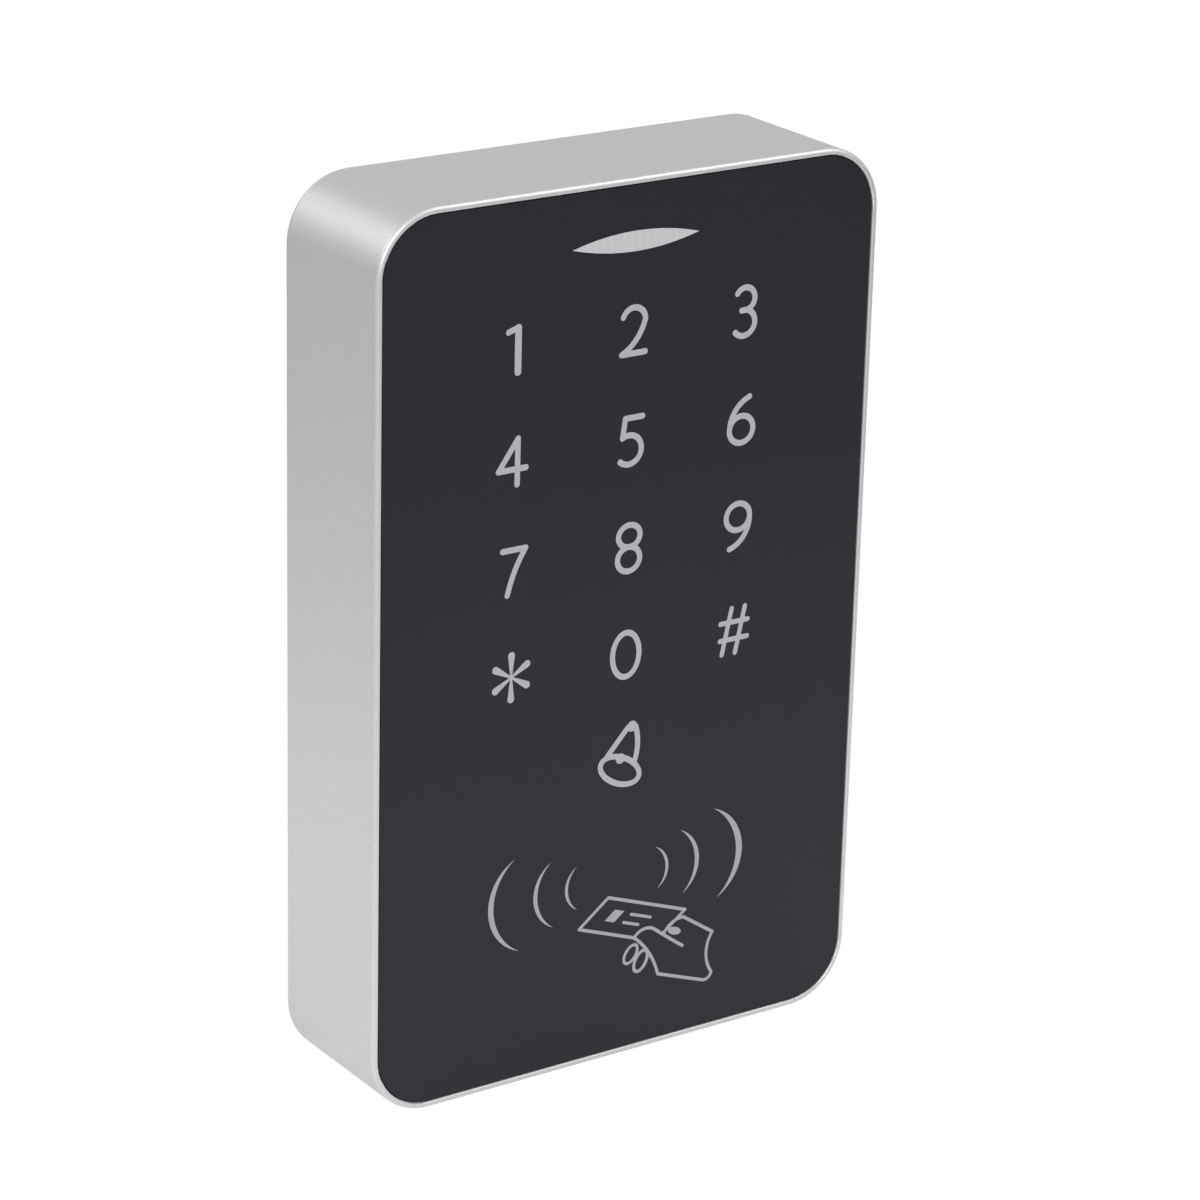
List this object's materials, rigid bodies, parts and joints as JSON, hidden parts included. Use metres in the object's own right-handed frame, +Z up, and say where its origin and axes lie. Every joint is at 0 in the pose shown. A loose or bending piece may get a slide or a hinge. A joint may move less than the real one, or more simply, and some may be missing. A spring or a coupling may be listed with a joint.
{
  "type": "keypad card reader",
  "caption": "Slim wall-mounted touch keypad and proximity card reader: silver frame, black lit panel, hook-on wall plate.",
  "frame": {"origin": "on the wall side of the wall plate, behind the middle of the housing", "axes": "+Z up, +Y into the wall, so the front faces -Y; +X to the right as seen by a user"},
  "size_m": [0.0754, 0.0225, 0.12],
  "materials": {
    "silver_paint": "satin silver paint on moulded plastic",
    "black_film": "fine satin printed film",
    "legend_white": "translucent light grey ink",
    "status_lens": "frosted light window",
    "clear_acrylic": "clear acrylic sheet",
    "light_sheet": "frosted light guide",
    "tape_black": "foam adhesive tape",
    "board_green": "solder mask over glass-epoxy",
    "copper": "bare copper, gilded",
    "winding": "enamelled copper wire",
    "light_body": "white moulded light package",
    "chip_black": "moulded epoxy",
    "tin": "tin plate",
    "steel": "bright steel",
    "iron": "nickel-washed soft iron",
    "brass": "turned brass",
    "connector_white": "natural nylon",
    "connector_black": "moulded nylon",
    "relay_blue": "moulded relay cover",
    "can_aluminium": "drawn can",
    "ceramic_part": "fired chip parts",
    "ferrite": "ground ferrite",
    "plate_black": "fine sparked moulding",
    "rubber_black": "soft rubber",
    "nylon": "nylon washer",
    "button_red": "moulded plunger"
  },
  "bodies": {
    "wall_plate": {"wall_plate": "plate_black", "lock_insert": "brass", "cable_grommet": "rubber_black"},
    "front_unit": {"front_housing": "silver_paint", "panel_film": "black_film", "key_legends": "legend_white", "bell_legend": "legend_white", "wave_legend": "legend_white", "card_legend": "legend_white", "status_window": "status_lens", "touch_panel": "clear_acrylic", "panel_tape": "tape_black", "light_guide": "light_sheet", "status_light_pipe": "light_sheet", "touch_board": "board_green", "touch_pads": "copper", "key_lights": "light_body", "status_lights": "light_body", "touch_chip": "chip_black", "processor": "chip_black", "reader_chip": "chip_black", "header_strip": "connector_black", "header_socket": "connector_black", "header_pins": "brass", "main_board": "board_green", "board_screws": "steel", "antenna_coil": "winding", "coil_pad": "tape_black", "crystal": "tin", "relay_base": "chip_black", "relay_case": "relay_blue", "relay_yoke": "iron", "relay_bobbin": "connector_white", "relay_winding": "winding", "relay_contacts": "copper", "buzzer_case": "connector_black", "buzzer_disc": "brass", "capacitors": "can_aluminium", "capacitor_bases": "chip_black", "power_inductor": "ferrite", "regulator": "chip_black", "chip_legs": "tin", "diodes": "chip_black", "chip_parts": "ceramic_part", "terminal_header": "connector_white", "terminal_pins": "tin", "tamper_switch": "connector_black", "reset_switch": "connector_black"},
    "lock_washer": {"lock_washer": "nylon"},
    "lock_screw": {"lock_screw": "steel"},
    "tamper_plunger": {"tamper_plunger": "button_red"},
    "reset_button": {"reset_button": "connector_black"},
    "relay_armature": {"relay_armature": "iron"}
  },
  "joints": [
    {"name": "front_swing", "type": "hinge", "parent": "wall_plate", "child": "front_unit", "pos_m": [0, -0.0026, 0.0579], "axis": [-1, 0, 0], "range_deg": [0, 18]},
    {"name": "lock_travel", "type": "slide", "parent": "wall_plate", "child": "lock_washer", "axis": [0, 0, -1], "range_m": [0, 0.0025]},
    {"name": "lock_turn", "type": "hinge", "parent": "lock_washer", "child": "lock_screw", "pos_m": [0, -0.0065, -0.0578], "axis": [0, 0, -1], "range_deg": [0, 1800]},
    {"name": "tamper_travel", "type": "slide", "parent": "front_unit", "child": "tamper_plunger", "axis": [0, 1, 0], "range_m": [0, 0.001]},
    {"name": "reset_press", "type": "slide", "parent": "front_unit", "child": "reset_button", "axis": [0, -1, 0], "range_m": [0, 0.00025], "stiffness_N_per_m": 1000},
    {"name": "relay_pull", "type": "hinge", "parent": "front_unit", "child": "relay_armature", "pos_m": [0.022, -0.0088, 0.0402], "axis": [-1, 0, 0], "range_deg": [0, 8], "stiffness_Nm_per_rad": 0.005}
  ],
  "couplings": [
    {"joint": "lock_turn", "follows": "lock_travel", "rad_per_m": 12560},
    {"joint": "tamper_travel", "follows": "front_swing", "m_per_rad": 0.00318}
  ]
}
